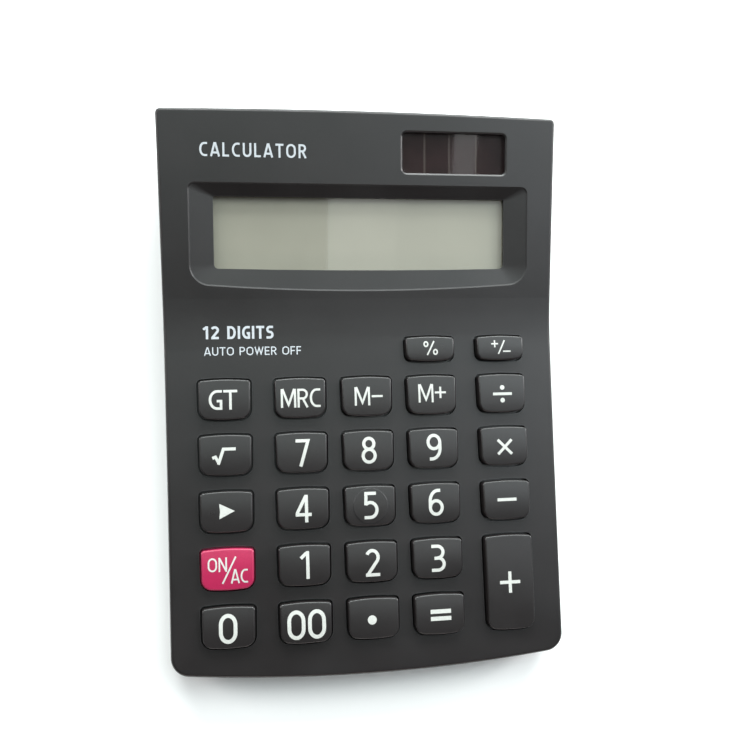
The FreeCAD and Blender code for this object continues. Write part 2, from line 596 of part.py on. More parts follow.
cs = []
for x, y, zb in case_screw_at:
    L = 6.0 if zb > 7 else 3.3
    s = cyl(1.0, x, y, zb - 2.0, zb + L).fuse(cyl(1.9, x, y, zb - 3.4, zb - 2.0))
    s = s.cut(box(x - 1.3, x + 1.3, y - 0.25, y + 0.25, zb - 3.5, zb - 2.8))
    s = s.cut(box(x - 0.25, x + 0.25, y - 1.3, y + 1.3, zb - 3.5, zb - 2.8))
    cs.append(solid_of(s))
out(Part.makeCompound(cs), "case_screws")

# ---- battery door ---------------------------------------------------------
door = box(-27.35, 27.35, BY0 - 1.05, 75, Z_FLOOR, 2.9)
door = door.fuse(box(-28.45, 28.45, BY0 - 1.05, 64.0, 2.2, 2.9))
door = door.fuse(box(-27.35, 27.35, BY1 + 1.9, 80, Z_FLOOR, 8.25))
hollow = low_in.common(box(-26.0, 26.0, BY0, 80, 2.9, 12))
door = door.cut(hollow).common(low_out)
for k in range(6):
    door = door.cut(box(-7.0, 7.0, 55.0 + 1.5 * k, 55.7 + 1.5 * k, 0, Z_FLOOR + 0.5))
door = solid_of(door)
print("door solids", len(door.Solids), "valid", door.isValid())
out(door, "battery_door")

# ---- battery and its contacts ---------------------------------------------
bx0 = -20.6
cell = Part.makeCylinder(CELL_R, CELL_L, V(bx0, CELL_Y, CELL_Z), V(1, 0, 0))
cell = cell.makeFillet(0.5, [e for e in cell.Edges if e.Curve.TypeId == "Part::GeomCircle"])
nub = Part.makeCylinder(1.9, 0.9, V(bx0 + CELL_L, CELL_Y, CELL_Z), V(1, 0, 0))
out(solid_of(cell.fuse(nub)), "battery_cell")
out(box(bx0 + CELL_L + 0.95, bx0 + CELL_L + 1.35, CELL_Y - 4.0, CELL_Y + 4.0, CELL_Z - 4.5, CELL_Z + 4.5), "battery_contact_plus")
out(box(-27.5, -27.1, CELL_Y - 4.0, CELL_Y + 4.0, CELL_Z - 4.5, CELL_Z + 4.5), "battery_contact_minus")
helix = Part.makeHelix(1.4, 5.6, 3.7)
wire_r = 0.32
prof = Part.Wire(Part.Circle(V(3.7, 0, 0), V(0, 1, 1.4 / (2 * math.pi * 3.7)), wire_r).toShape())
coil = Part.Wire(helix).makePipeShell([prof], True, True)
coil.Placement = Placement(V(-26.7, CELL_Y, CELL_Z), Rotation(V(0, 1, 0), 90))
print("coil valid", coil.isValid(), "volume", round(coil.Volume, 2), coil.BoundBox)
out(coil, "battery_spring")

# ---- leads ------------------------------------------------------------------
def kw(x, y, z):
    p = DECK.multVec(V(x, y, z))
    return (p.x, p.y, p.z)


def sw(x, s, z):
    p = DISP.multVec(V(x, s, z))
    return (p.x, p.y, p.z)


leads = []
for dx in (0.0, 1.6):
    leads.append(tube([sw(10.6 + dx, 42.0 + dx, -3.15), sw(10.6 + dx, 41.6 + dx, -5.2), sw(10.3 + dx, 38.6, -7.2),
                       sw(9.6 + dx, 30.0, -7.6), sw(8.2 + dx, 18.0, -7.3), sw(7.4 + dx, 8.0, -8.6),
                       kw(7.0 + dx, 15.6, -8.6), kw(7.0 + dx, 14.9, PCB_BOT - 0.03)], 0.4, 4.0))
out(Part.makeCompound(leads), "solar_leads")
leads = []
for sx, x0 in ((-1, -29.6), (1, 29.6)):
    leads.append(tube([(sx * 26.0, 52.0, 15.9), (sx * 26.3, 44.0, 15.95), (sx * 25.0, 36.0, 13.6),
                       (sx * 22.0, 27.5, 11.2), (sx * 20.0, 20.0, 8.9), kw(sx * 19.6, 13.6, -8.9),
                       kw(sx * 19.6, 12.6, PCB_BOT - 0.03)], 0.4, 4.0))
out(Part.makeCompound(leads), "battery_leads")

bb = outer.BoundBox
print("case box", bb)
print("nodes", len([n for n in os.listdir("parts") if n.endswith(".step")]))
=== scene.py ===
import bpy, bmesh, json, math
from mathutils import Matrix, Vector, geometry
from mathutils.bvhtree import BVHTree


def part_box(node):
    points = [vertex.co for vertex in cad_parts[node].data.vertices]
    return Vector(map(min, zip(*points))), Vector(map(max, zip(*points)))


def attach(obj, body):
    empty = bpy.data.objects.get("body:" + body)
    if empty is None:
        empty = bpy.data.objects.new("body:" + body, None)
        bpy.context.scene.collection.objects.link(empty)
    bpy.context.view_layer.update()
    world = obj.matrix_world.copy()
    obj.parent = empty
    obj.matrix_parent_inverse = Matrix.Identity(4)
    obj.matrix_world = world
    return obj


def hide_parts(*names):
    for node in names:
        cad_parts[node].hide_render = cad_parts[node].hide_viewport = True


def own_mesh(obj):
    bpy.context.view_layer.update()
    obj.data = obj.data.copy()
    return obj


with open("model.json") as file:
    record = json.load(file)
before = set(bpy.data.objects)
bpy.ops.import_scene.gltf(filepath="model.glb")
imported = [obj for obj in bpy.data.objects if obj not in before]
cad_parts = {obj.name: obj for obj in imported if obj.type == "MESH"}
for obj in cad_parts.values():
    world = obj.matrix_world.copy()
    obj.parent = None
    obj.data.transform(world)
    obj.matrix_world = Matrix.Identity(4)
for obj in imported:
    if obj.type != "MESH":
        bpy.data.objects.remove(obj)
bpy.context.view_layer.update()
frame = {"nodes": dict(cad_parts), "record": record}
nodes = frame["nodes"]
scene = bpy.context.scene
scene.view_settings.view_transform = "Standard"

# ---------------------------------------------------------------- the frames
# millimetres in the deck's or the display's own plane, to metres in the world
ALPHA, DELTA = math.radians(4.5), math.radians(9.5)
Z_FRONT, Y_APEX, Y_BEND, S_REAR, REAR_BOW = 10.6, -74.95, 15.16, 54.5, 0.7
HOR = (Y_BEND - Y_APEX) * math.cos(ALPHA) + (S_REAR + REAR_BOW) * math.cos(ALPHA + DELTA)
CY = -HOR / 2 - Y_APEX * math.cos(ALPHA)
CZ = Z_FRONT - Y_APEX * math.sin(ALPHA)
MM = Matrix.Scale(0.001, 4)
DECK = MM @ Matrix.Translation((0, CY, CZ)) @ Matrix.Rotation(ALPHA, 4, "X")
SHOW = DECK @ Matrix.Translation((0, Y_BEND, 0)) @ Matrix.Rotation(DELTA, 4, "X")

# ---------------------------------------------------------------- the camera
cam_data = bpy.data.cameras.new("camera")
cam_data.lens, cam_data.sensor_width = 43.2, 36.0
cam_data.clip_start, cam_data.clip_end = 0.01, 10.0
cam = bpy.data.objects.new("camera", cam_data)
scene.collection.objects.link(cam)
scene.camera = cam
LOOK = Matrix(((0.9856709, 0.0188800, -0.1676197),
               (-0.0326098, 0.9962981, -0.0795401),
               (0.1654975, 0.0838664, 0.9826378)))
cam.matrix_world = (Matrix.Translation(DECK @ Vector((-37.032, -17.273, 232.337)))
                    @ Matrix.Rotation(ALPHA, 4, "X") @ LOOK.to_4x4())


# ---------------------------------------------------------------- materials
class Mat:
    """A procedural material: a Principled shader with object-space detail."""

    def __init__(self, name, color, rough=0.5, metallic=0.0, spec=0.5, coat=0.0, coat_rough=0.1):
        self.m = bpy.data.materials.new(name)
        self.m.use_nodes = True
        self.t = self.m.node_tree
        self.b = self.t.nodes["Principled BSDF"]
        self.color, self.rough = color, rough
        self.b.inputs["Base Color"].default_value = (*color, 1)
        self.b.inputs["Roughness"].default_value = rough
        self.b.inputs["Metallic"].default_value = metallic
        self.b.inputs["Specular IOR Level"].default_value = spec
        self.b.inputs["Coat Weight"].default_value = coat
        self.b.inputs["Coat Roughness"].default_value = coat_rough
        self.co = self.t.nodes.new("ShaderNodeTexCoord").outputs["Object"]
        self.normal = None

    def node(self, kind, **inputs):
        n = self.t.nodes.new(kind)
        for k, v in inputs.items():
            n.inputs[k.replace("_", " ")].default_value = v
        return n

    def noise(self, scale, detail=2.0, rough=0.5, stretch=None):
        n = self.node("ShaderNodeTexNoise", Scale=scale, Detail=detail, Roughness=rough)
        src = self.co
        if stretch:
            m = self.node("ShaderNodeMapping")
            m.inputs["Scale"].default_value = stretch
            self.t.links.new(src, m.inputs["Vector"])
            src = m.outputs["Vector"]
        self.t.links.new(src, n.inputs["Vector"])
        return n.outputs["Fac"]

    def ramp(self, fac, stops, mode="LINEAR"):
        r = self.t.nodes.new("ShaderNodeValToRGB")
        r.color_ramp.interpolation = mode
        while len(r.color_ramp.elements) < len(stops):
            r.color_ramp.elements.new(0.5)
        for e, (p, c) in zip(r.color_ramp.elements, stops):
            e.position = p
            e.color = (*c, 1) if len(c) == 3 else c
        self.t.links.new(fac, r.inputs["Fac"])
        return r.outputs["Color"]

    def math(self, op, a, b=None, clamp=False):
        n = self.t.nodes.new("ShaderNodeMath")
        n.operation, n.use_clamp = op, clamp
        for i, v in enumerate((a, b)):
            if v is None:
                continue
            if isinstance(v, (int, float)):
                n.inputs[i].default_value = v
            else:
                self.t.links.new(v, n.inputs[i])
        return n.outputs[0]

    def mix(self, fac, a, b):
        n = self.t.nodes.new("ShaderNodeMix")
        n.data_type = "RGBA"
        self.t.links.new(fac, n.inputs["Factor"])
        for sock, v in ((n.inputs["A"], a), (n.inputs["B"], b)):
            if isinstance(v, tuple):
                sock.default_value = (*v, 1)
            else:
                self.t.links.new(v, sock)
        return n.outputs["Result"]

    def axis(self, name):
        s = self.t.nodes.new("ShaderNodeSeparateXYZ")
        self.t.links.new(self.co, s.inputs[0])
        return s.outputs[name]

    def vary(self, scale, low, high, detail=3.0):
        """colour moves between low and high times itself"""
        stops = [(0.3, tuple(c * low for c in self.color)), (0.7, tuple(c * high for c in self.color))]
        out = self.ramp(self.noise(scale, detail), stops)
        self.t.links.new(out, self.b.inputs["Base Color"])
        return out

    def rough_vary(self, scale, low, high, detail=3.0, extra=None):
        out = self.ramp(self.noise(scale, detail), [(0.3, (low,) * 3), (0.7, (high,) * 3)])
        if extra is not None:
            out = self.math("ADD", out, extra)
        self.t.links.new(out, self.b.inputs["Roughness"])

    def bump(self, height, strength, distance):
        n = self.node("ShaderNodeBump", Strength=strength, Distance=distance)
        self.t.links.new(height, n.inputs["Height"])
        if self.normal is not None:
            self.t.links.new(self.normal, n.inputs["Normal"])
        self.normal = n.outputs["Normal"]
        self.t.links.new(self.normal, self.b.inputs["Normal"])
        return self

    def edge(self, radius):
        """1 on outer corners rounder than radius, 0 on flats"""
        bev = self.t.nodes.new("ShaderNodeBevel")
        bev.samples = 4
        bev.inputs["Radius"].default_value = radius
        geo = self.t.nodes.new("ShaderNodeNewGeometry")
        dot = self.t.nodes.new("ShaderNodeVectorMath")
        dot.operation = "DOT_PRODUCT"
        self.t.links.new(bev.outputs[0], dot.inputs[0])
        self.t.links.new(geo.outputs["Normal"], dot.inputs[1])
        return self.math("SUBTRACT", 1.0, dot.outputs["Value"], clamp=True)


def plastic(name, color, rough, grain, grain_depth, edge_wear_and_highlight_color, swing=0.12, spec=0.5):
    """Moulded plastic: a spark-eroded grain, cloudy tone, handling gloss, and edges painted lighter, partly as rubbed
    wear and partly as a painted edge highlight.
    """
    m = Mat(name, color, rough, spec=spec)
    base = m.vary(95.0, 1 - swing, 1 + swing, 4.0)
    speck = m.ramp(m.noise(grain * 0.55, 1.0), [(0.35, (0.86,) * 3), (0.65, (1.0,) * 3)])
    mul = m.t.nodes.new("ShaderNodeMix")
    mul.data_type, mul.blend_type = "RGBA", "MULTIPLY"
    mul.inputs["Factor"].default_value = 1.0
    m.t.links.new(base, mul.inputs["A"])
    m.t.links.new(speck, mul.inputs["B"])
    # edges painted lighter by a bevel mask: partly rubbed wear, partly a painted highlight along every edge; roughness
    # drops there too
    edge_wear_and_highlight = m.math("MULTIPLY", m.edge(0.00045), m.math("MULTIPLY", m.noise(420.0, 3.0), 3.2), clamp=True)
    out = m.mix(edge_wear_and_highlight, mul.outputs["Result"], edge_wear_and_highlight_color)
    m.t.links.new(out, m.b.inputs["Base Color"])
    m.rough_vary(60.0, rough - 0.05, rough + 0.06, 4.0, m.math("MULTIPLY", edge_wear_and_highlight, -0.14))
    m.bump(m.noise(grain, 2.0, 0.6), 0.55, grain_depth)
    m.bump(m.noise(38.0, 2.0), 0.25, 0.00004)
    return m.m


def metal(name, color, rough, stretch=(1, 1, 1), scale=900.0):
    m = Mat(name, color, rough, metallic=1.0)
    m.vary(240.0, 0.82, 1.08)
    m.rough_vary(310.0, rough - 0.08, rough + 0.12)
    m.bump(m.noise(scale, 3.0, 0.6, stretch), 0.25, 0.00002)
    return m.m


def clear(name, tint, ior, rough):
    """Thin clear acrylic: what is behind shows, and the surface mirrors by Fresnel."""
    mat = bpy.data.materials.new(name)
    mat.use_nodes = True
    t = mat.node_tree
    t.nodes.clear()
    co = t.nodes.new("ShaderNodeTexCoord").outputs["Object"]
    noise = t.nodes.new("ShaderNodeTexNoise")
    noise.inputs["Scale"].default_value = 26.0
    noise.inputs["Detail"].default_value = 1.0
    t.links.new(co, noise.inputs["Vector"])
    bump = t.nodes.new("ShaderNodeBump")
    bump.inputs["Strength"].default_value = 0.10
    bump.inputs["Distance"].default_value = 0.00003
    t.links.new(noise.outputs["Fac"], bump.inputs["Height"])
    see = t.nodes.new("ShaderNodeBsdfTransparent")
    see.inputs["Color"].default_value = (*tint, 1)
    gloss = t.nodes.new("ShaderNodeBsdfAnisotropic")
    gloss.inputs["Roughness"].default_value = rough
    t.links.new(bump.outputs["Normal"], gloss.inputs["Normal"])
    fres = t.nodes.new("ShaderNodeFresnel")
    fres.inputs["IOR"].default_value = ior
    geo = t.nodes.new("ShaderNodeNewGeometry")
    front = t.nodes.new("ShaderNodeMath")
    front.operation = "SUBTRACT"
    front.inputs[0].default_value = 1.0
    t.links.new(geo.outputs["Backfacing"], front.inputs[1])
    fac = t.nodes.new("ShaderNodeMath")
    fac.operation = "MULTIPLY"
    t.links.new(fres.outputs[0], fac.inputs[0])
    t.links.new(front.outputs[0], fac.inputs[1])
    mix = t.nodes.new("ShaderNodeMixShader")
    t.links.new(fac.outputs[0], mix.inputs[0])
    t.links.new(see.outputs[0], mix.inputs[1])
    t.links.new(gloss.outputs[0], mix.inputs[2])
    out = t.nodes.new("ShaderNodeOutputMaterial")
    t.links.new(mix.outputs[0], out.inputs["Surface"])
    return mat


MATS = {}
# the last colour of each plastic is its edge colour: partly rubbed wear, partly a painted edge highlight
MATS["case_dark"] = plastic("case_charcoal", (0.0095, 0.0076, 0.0078), 0.37, 5200.0, 0.00003, (0.050, 0.051, 0.053))
MATS["case_lower"] = plastic("case_lower_charcoal", (0.0120, 0.0120, 0.0125), 0.50, 4600.0, 0.00004, (0.040, 0.041, 0.043))
MATS["key_black"] = plastic("key_black_satin", (0.0150, 0.0130, 0.0132), 0.32, 7600.0, 0.000014, (0.055, 0.055, 0.058), 0.10)
MATS["key_magenta"] = plastic("key_magenta_satin", (0.36, 0.013, 0.066), 0.33, 7600.0, 0.000014, (0.74, 0.20, 0.32), 0.05)
MATS["window_clear"] = clear("window_acrylic", (0.990, 0.995, 0.990), 1.50, 0.035)


def lcd_face():
    m = Mat("lcd_polariser_film", (0.285, 0.272, 0.225), 0.42)
    m.vary(70.0, 0.965, 1.035, 3.0)
    m.bump(m.noise(9000.0, 1.0), 0.12, 0.000004)
    return m.m


def foil():
    m = Mat("lcd_reflector_foil", (0.72, 0.73, 0.70), 0.28, metallic=1.0)
    m.vary(300.0, 0.9, 1.05)
    m.bump(m.noise(700.0, 4.0), 0.4, 0.00003)
    return m.m


def solar_face():
    """Amorphous silicon: four dark maroon cells between thin scribed lines."""
    m = Mat("solar_amorphous", (0.020, 0.0105, 0.0110), 0.24, spec=0.12)
    base = m.vary(130.0, 0.80, 1.25, 3.0)
    x = m.axis("X")
    line = None
    for at in (0.0169, 0.0236, 0.0309):
        d = m.math("ABSOLUTE", m.math("SUBTRACT", x, at))
        hit = m.math("LESS_THAN", d, 0.00026)
        line = hit if line is None else m.math("MAXIMUM", line, hit)
    out = m.mix(line, base, (0.060, 0.046, 0.043))
    m.t.links.new(out, m.b.inputs["Base Color"])
    m.bump(m.math("MULTIPLY", line, -1.0), 0.6, 0.00003)
    m.bump(m.noise(2400.0, 2.0), 0.15, 0.00001)
    return m.m


def board():
    """Green solder mask over a faint grid of copper tracks."""
    m = Mat("board_solder_mask", (0.020, 0.105, 0.045), 0.34, coat=0.3)
    base = m.vary(180.0, 0.85, 1.15)
    brick = m.t.nodes.new("ShaderNodeTexBrick")
    brick.inputs["Scale"].default_value = 260.0
    brick.inputs["Mortar Size"].default_value = 0.06
    brick.inputs["Color1"].default_value = (0, 0, 0, 1)
    brick.inputs["Color2"].default_value = (0.15, 0.15, 0.15, 1)
    brick.inputs["Mortar"].default_value = (1, 1, 1, 1)
    m.t.links.new(m.co, brick.inputs["Vector"])
    track = m.math("MULTIPLY", brick.outputs["Fac"], 0.55)
    m.t.links.new(m.mix(track, base, (0.045, 0.22, 0.085)), m.b.inputs["Base Color"])
    m.bump(brick.outputs["Fac"], 0.4, 0.00003)
    return m.m


def ribbon():
    """Amber film with fine lines along it."""
    m = Mat("ribbon_film", (0.42, 0.19, 0.035), 0.30)
    base = m.vary(200.0, 0.9, 1.1)
    wave = m.t.nodes.new("ShaderNodeTexWave")
    wave.bands_direction = "X"
    wave.inputs["Scale"].default_value = 420.0
    m.t.links.new(m.co, wave.inputs["Vector"])
    m.t.links.new(m.mix(m.math("MULTIPLY", wave.outputs["Fac"], 0.5), base, (0.12, 0.07, 0.03)), m.b.inputs["Base Color"])
    m.bump(wave.outputs["Fac"], 0.3, 0.00002)
    return m.m


def rubbery(name, color, rough, scale=2600.0, depth=0.00004):
    m = Mat(name, color, rough)
    m.vary(160.0, 0.86, 1.12)
    m.rough_vary(400.0, rough - 0.06, rough + 0.05)
    m.bump(m.noise(scale, 3.0, 0.6), 0.5, depth)
    return m.m


def cell_can():
    """A generic wrapped AAA cell: two bands of foil print between bare steel ends."""
    lo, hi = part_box("battery_cell")
    m = Mat("cell_wrapper", (0.05, 0.06, 0.09), 0.30)
    t = m.math("DIVIDE", m.math("SUBTRACT", m.axis("X"), lo.x), hi.x - lo.x)
    col = m.ramp(t, [(0.0, (0.60, 0.60, 0.58)), (0.035, (0.020, 0.030, 0.060)), (0.70, (0.56, 0.42, 0.20)), (0.965, (0.62, 0.62, 0.60))], "CONSTANT")
    grain = m.ramp(m.noise(300.0, 3.0), [(0.3, (0.88,) * 3), (0.7, (1.0,) * 3)])
    mul = m.t.nodes.new("ShaderNodeMix")
    mul.data_type, mul.blend_type = "RGBA", "MULTIPLY"
    mul.inputs["Factor"].default_value = 1.0
    m.t.links.new(col, mul.inputs["A"])
    m.t.links.new(grain, mul.inputs["B"])
    m.t.links.new(mul.outputs["Result"], m.b.inputs["Base Color"])
    met = m.ramp(t, [(0.0, (1,) * 3), (0.035, (0,) * 3), (0.70, (0.8,) * 3), (0.965, (1,) * 3)], "CONSTANT")
    m.t.links.new(met, m.b.inputs["Metallic"])
    m.bump(m.noise(1200.0, 2.0), 0.2, 0.00001)
    return m.m


def lead(name, node_name, one, two):
    """Two insulated wires in one node, told apart by which side of the node they run."""
    lo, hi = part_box(node_name)
    m = Mat(name, one, 0.42)
    side = m.math("GREATER_THAN", m.axis("X"), (lo.x + hi.x) / 2)
    tone = m.ramp(m.noise(500.0, 3.0), [(0.3, (0.85,) * 3), (0.7, (1.0,) * 3)])
    mul = m.t.nodes.new("ShaderNodeMix")
    mul.data_type, mul.blend_type = "RGBA", "MULTIPLY"
    mul.inputs["Factor"].default_value = 1.0
    m.t.links.new(m.mix(side, one, two), mul.inputs["A"])
    m.t.links.new(tone, mul.inputs["B"])
    m.t.links.new(mul.outputs["Result"], m.b.inputs["Base Color"])
    m.bump(m.noise(1500.0, 2.0), 0.3, 0.00003)
    return m.m


def legend_ink(name="legend_white_ink", color=(0.80, 0.80, 0.77)):
    m = Mat(name, color, 0.42)
    m.vary(1400.0, 0.94, 1.04)
    m.bump(m.noise(5200.0, 2.0), 0.35, 0.000012)
    return m.m


MATS["lcd_glass"] = rubbery("lcd_glass_edge", (0.30, 0.34, 0.30), 0.12, 3000.0, 0.00001)
MATS["lcd_film"] = lcd_face()
MATS["lcd_foil"] = foil()
# its last colour is the edge colour: partly rubbed wear, partly a painted edge highlight
MATS["holder"] = plastic("holder_natural_abs", (0.50, 0.48, 0.42), 0.45, 4200.0, 0.00003, (0.62, 0.60, 0.54), 0.06)
MATS["ribbon"] = ribbon()
MATS["solar_glass"] = solar_face()
MATS["foam"] = rubbery("foam_pad", (0.050, 0.050, 0.052), 0.92, 1400.0, 0.00015)
MATS["silicone"] = rubbery("silicone_grey", (0.36, 0.36, 0.35), 0.55)
MATS["board"] = board()
MATS["epoxy"] = rubbery("epoxy_black", (0.010, 0.010, 0.011), 0.22, 700.0, 0.00008)
MATS["component"] = rubbery("component_sleeve", (0.030, 0.035, 0.070), 0.30, 1500.0, 0.00003)
MATS["diode_body"] = rubbery("diode_glass", (0.30, 0.070, 0.020), 0.14, 1500.0, 0.00002)
MATS["steel_screw"] = metal("screw_zinc_steel", (0.62, 0.62, 0.63), 0.30)
MATS["rubber_foot"] = rubbery("rubber_foot_black", (0.014, 0.014, 0.014), 0.78, 2200.0, 0.00008)
MATS["cell_can"] = cell_can()
MATS["contact_nickel"] = metal("contact_nickel", (0.68, 0.66, 0.60), 0.24, (1, 1, 6))
MATS["lead_red"] = lead("lead_solar_pair", "solar_leads", (0.50, 0.018, 0.014), (0.012, 0.012, 0.013))
MATS["lead_black"] = lead("lead_battery_pair", "battery_leads", (0.012, 0.012, 0.013), (0.50, 0.018, 0.014))
INK = legend_ink("legend_white_ink", (0.50, 0.51, 0.485))
PRINT = legend_ink("case_print_grey", (0.44, 0.47, 0.50))

slot_of = {s["node"]: s.get("material_slot") for s in frame["record"].get("subparts", [])}
for name, o in nodes.items():
    mat = MATS[slot_of[name]]
    for ms in o.material_slots:
        ms.material = mat
    if not o.material_slots:
        o.data.materials.append(mat)


# ---------------------------------------------------------------- the lettering
# Plain monoline strokes, in units of the letter's height; s is half a stroke.
def arc(cx, cy, rx, ry, a0, a1, n=14):
    return [(cx + rx * math.cos(math.radians(a0 + (a1 - a0) * i / n)),
             cy + ry * math.sin(math.radians(a0 + (a1 - a0) * i / n))) for i in range(n + 1)]


def glyph(ch, s):
    """(width, strokes): a stroke is a list of points, and one that ends where it starts is closed"""
    T, B, L = 1 - s, s, s
    if ch in "0O":
        w = 0.62 if ch == "0" else 0.70
        R, k = w - s, 0.30
        cx, rx = w / 2, (w - 2 * s) / 2
        return w, [arc(cx, T - k, rx, k, 0, 180) + arc(cx, B + k, rx, k, 180, 360) + [(R, T - k)]]
    if ch == "1":
        return 0.46, [[(0.31, 1.0), (0.31, 0.0)], [(0.06, 0.745), (0.27, 0.935)]]
    if ch == "2":
        return 0.57, [arc(0.275, 0.70, 0.215, T - 0.70, 155, -32) + [(0.085, s)], [(0.02, s), (0.55, s)]]
    if ch == "3":
        return 0.57, [[(0.04, T), (0.24, T)] + arc(0.26, 0.725, 0.215, T - 0.725, 90, -90)[1:],
                      [(0.14, 0.50), (0.27, 0.50)] + arc(0.27, 0.285, 0.235, 0.285 - B, 90, -90)[1:] + [(0.03, B)]]
    if ch == "4":
        return 0.60, [[(0.40, 0.0), (0.40, 1.0)], [(0.385, 0.965), (0.055, 0.335)], [(0.0, 0.285), (0.585, 0.285)]]
    if ch == "5":
        return 0.57, [[(0.48, T), (0.105, T), (0.09, 0.515)],
                      arc(0.255, 0.335, 0.245, 0.335 - B, 132, -90) + [(0.03, B)]]
    if ch in "69":
        st = [[(0.46, T), (0.37, T)] + arc(0.37, 0.55, 0.37 - L, T - 0.55, 90, 180)[1:] + [(L, 0.31)],
              arc(0.285, 0.31, 0.285 - L, 0.31 - B, 0, 360, 26)]
        if ch == "9":
            st = [[(0.57 - x, 1 - y) for x, y in p] for p in st]
        return 0.57, st
    if ch == "7":
        return 0.54, [[(0.02, T), (0.475, T), (0.19, 0.0)]]
    if ch == "8":
        return 0.57, [arc(0.285, 0.74, 0.19, T - 0.74, 0, 360, 24), arc(0.285, 0.295, 0.285 - L, 0.295 - B, 0, 360, 26)]
    if ch == "A":
        return 0.66, [[(0.045, 0), (0.315, 1.0)], [(0.615, 0), (0.345, 1.0)], [(0.13, 0.27), (0.53, 0.27)]]
    if ch in "CG":
        st = [[(0.56, T), (0.36, T)] + arc(0.36, 0.5, 0.36 - L, 0.5 - B, 90, 270)[1:] + [(0.56 if ch == "C" else 0.58 - s, B)]]
        if ch == "G":
            st[0] += [(0.58 - s, 0.44), (0.34, 0.44)]
        return 0.58, st
    if ch == "D":
        return 0.62, [[(L, B), (L, T), (0.27, T)] + arc(0.27, 0.5, 0.35 - s, 0.5 - B, 90, -90)[1:] + [(L, B), (L, T)]]
    if ch == "E":
        return 0.50, [[(0.48, T), (L, T), (L, B), (0.48, B)], [(L, 0.5), (0.44, 0.5)]]
    if ch == "F":
        return 0.48, [[(0.47, T), (L, T), (L, 0)], [(L, 0.48), (0.43, 0.48)]]
    if ch == "I":
        return 2 * s, [[(s, 0), (s, 1)]]
    if ch == "L":
        return 0.48, [[(L, 1), (L, B), (0.47, B)]]
    if ch == "M":
        return 0.80, [[(L, 0), (L, 1)], [(0.80 - L, 0), (0.80 - L, 1)], [(0.07 + s * 0.4, 1.0), (0.40, 0.14), (0.73 - s * 0.4, 1.0)]]
    if ch == "N":
        return 0.64, [[(L, 0), (L, 1)], [(0.64 - L, 0), (0.64 - L, 1)], [(L + 0.01, 0.95), (0.63 - L, 0.05)]]
    if ch == "P":
        return 0.56, [[(L, 0), (L, T), (0.28, T)] + arc(0.28, 0.70, 0.28 - s, T - 0.70, 90, -90)[1:] + [(L, 1.40 - T)]]
    if ch == "R":
        return 0.58, [[(L, 0), (L, T), (0.28, T)] + arc(0.28, 0.71, 0.27 - s, T - 0.71, 90, -90)[1:] + [(L, 1.42 - T)],
                      [(0.28, 1.42 - T), (0.52, 0.0)]]
    if ch == "S":
        return 0.56, [[(0.51, T), (0.27, T)] + arc(0.27, 0.715, 0.255 - s, T - 0.715, 90, 270)[1:]
                      + [(0.28, 1.43 - T)] + arc(0.28, (1.43 - T + B) / 2, 0.27 - s, (1.43 - T - B) / 2, 90, -90)[1:] + [(0.03, B)]]
    if ch == "T":
        return 0.58, [[(0, T), (0.58, T)], [(0.29, T), (0.29, 0)]]
    if ch == "U":
        return 0.62, [[(L, 1), (L, 0.33)] + arc(0.31, 0.33, 0.31 - s, 0.33 - s, 180, 360)[1:] + [(0.62 - s, 1)]]
    if ch == "W":
        return 0.88, [[(0.04, 1.0), (0.24, 0.08), (0.44, 0.92), (0.64, 0.08), (0.84, 1.0)]]
    if ch == " ":
        return 0.34, []
    raise ValueError(ch)


def text(string, height, stroke, gap, wide=1.0):
    """strokes of a line of text in millimetres, centred on its own box, and its width"""
    s = stroke / height / 2
    x, out = 0.0, []
    for ch in string:
        w, st = glyph(ch, s)
        if wide != 1.0 and ch not in " I":
            st = [[(s + (px - s) * ((w * wide - 2 * s) / (w - 2 * s)), py) for px, py in p] for p in st]
            w = w * wide
        out += [[((x + px) * height, (py - 0.5) * height) for px, py in p] for p in st]
        x += w + gap
    width = (x - gap) * height
    return [[(px - width / 2, py) for px, py in p] for p in out], width


def shift(strokes, dx, dy):
    return [[(x + dx, y + dy) for x, y in p] for p in strokes]


def ribs(points, half, step=0.9):
    """quads, counter-clockwise, along a mitred stroke"""
    p = [Vector(points[0])]
    for q in points[1:]:
        q = Vector(q)
        d = (q - p[-1]).length
        if d < 1e-4:
            continue
        n = max(1, math.ceil(d / step))
        a = p[-1]
        p += [a.lerp(q, i / n) for i in range(1, n + 1)]
    closed = (p[0] - p[-1]).length < 1e-3
    if closed:
        p = p[:-1]
    n = len(p)
    side = lambda a, b: Vector((-(b - a).y, (b - a).x)).normalized()
    off = []
    for i in range(n):
        before = side(p[i - 1], p[i]) if (i or closed) else None
        after = side(p[i], p[(i + 1) % n]) if (i < n - 1 or closed) else None
        if before is None or after is None:
            off.append((before or after) * half)
            continue
        m = before + after
        m = m.normalized() if m.length > 1e-6 else before
        off.append(m * min(half / max(m.dot(before), 0.2), half * 2.1))
    quads = []
    for i in range(n if closed else n - 1):
        j = (i + 1) % n
        quads.append([p[i] - off[i], p[j] - off[j], p[j] + off[j], p[i] + off[i]])
    return quads


def disc(cx, cy, r, n=28):
    return [Vector((cx + r * math.cos(2 * math.pi * i / n), cy + r * math.sin(2 * math.pi * i / n))) for i in range(n)]


def union(faces, holes=(), grid=0.0):
    """triangles that cover faces but not holes, as (points, triangles)"""
    co, idx = [], []
    for f in list(faces) + list(holes):
        area = sum(f[i - 1].x * f[i].y - f[i].x * f[i - 1].y for i in range(len(f)))
        f = f if area > 0 else f[::-1]
        idx.append(list(range(len(co), len(co) + len(f))))
        co += [Vector((v[0], v[1])) for v in f]
    if grid:
        xs, ys = [v.x for v in co], [v.y for v in co]
        nx, ny = int((max(xs) - min(xs)) / grid), int((max(ys) - min(ys)) / grid)
        co += [Vector((min(xs) + (i + 0.5) * grid, min(ys) + (j + 0.5) * grid)) for i in range(nx) for j in range(ny)]
    v, _, tri, _, _, orig = geometry.delaunay_2d_cdt(co, [], idx, 1, 1e-5)
    first = len(faces)
    keep = [t for t, o in zip(tri, orig) if o and not any(k >= first for k in o)]
    return v, keep


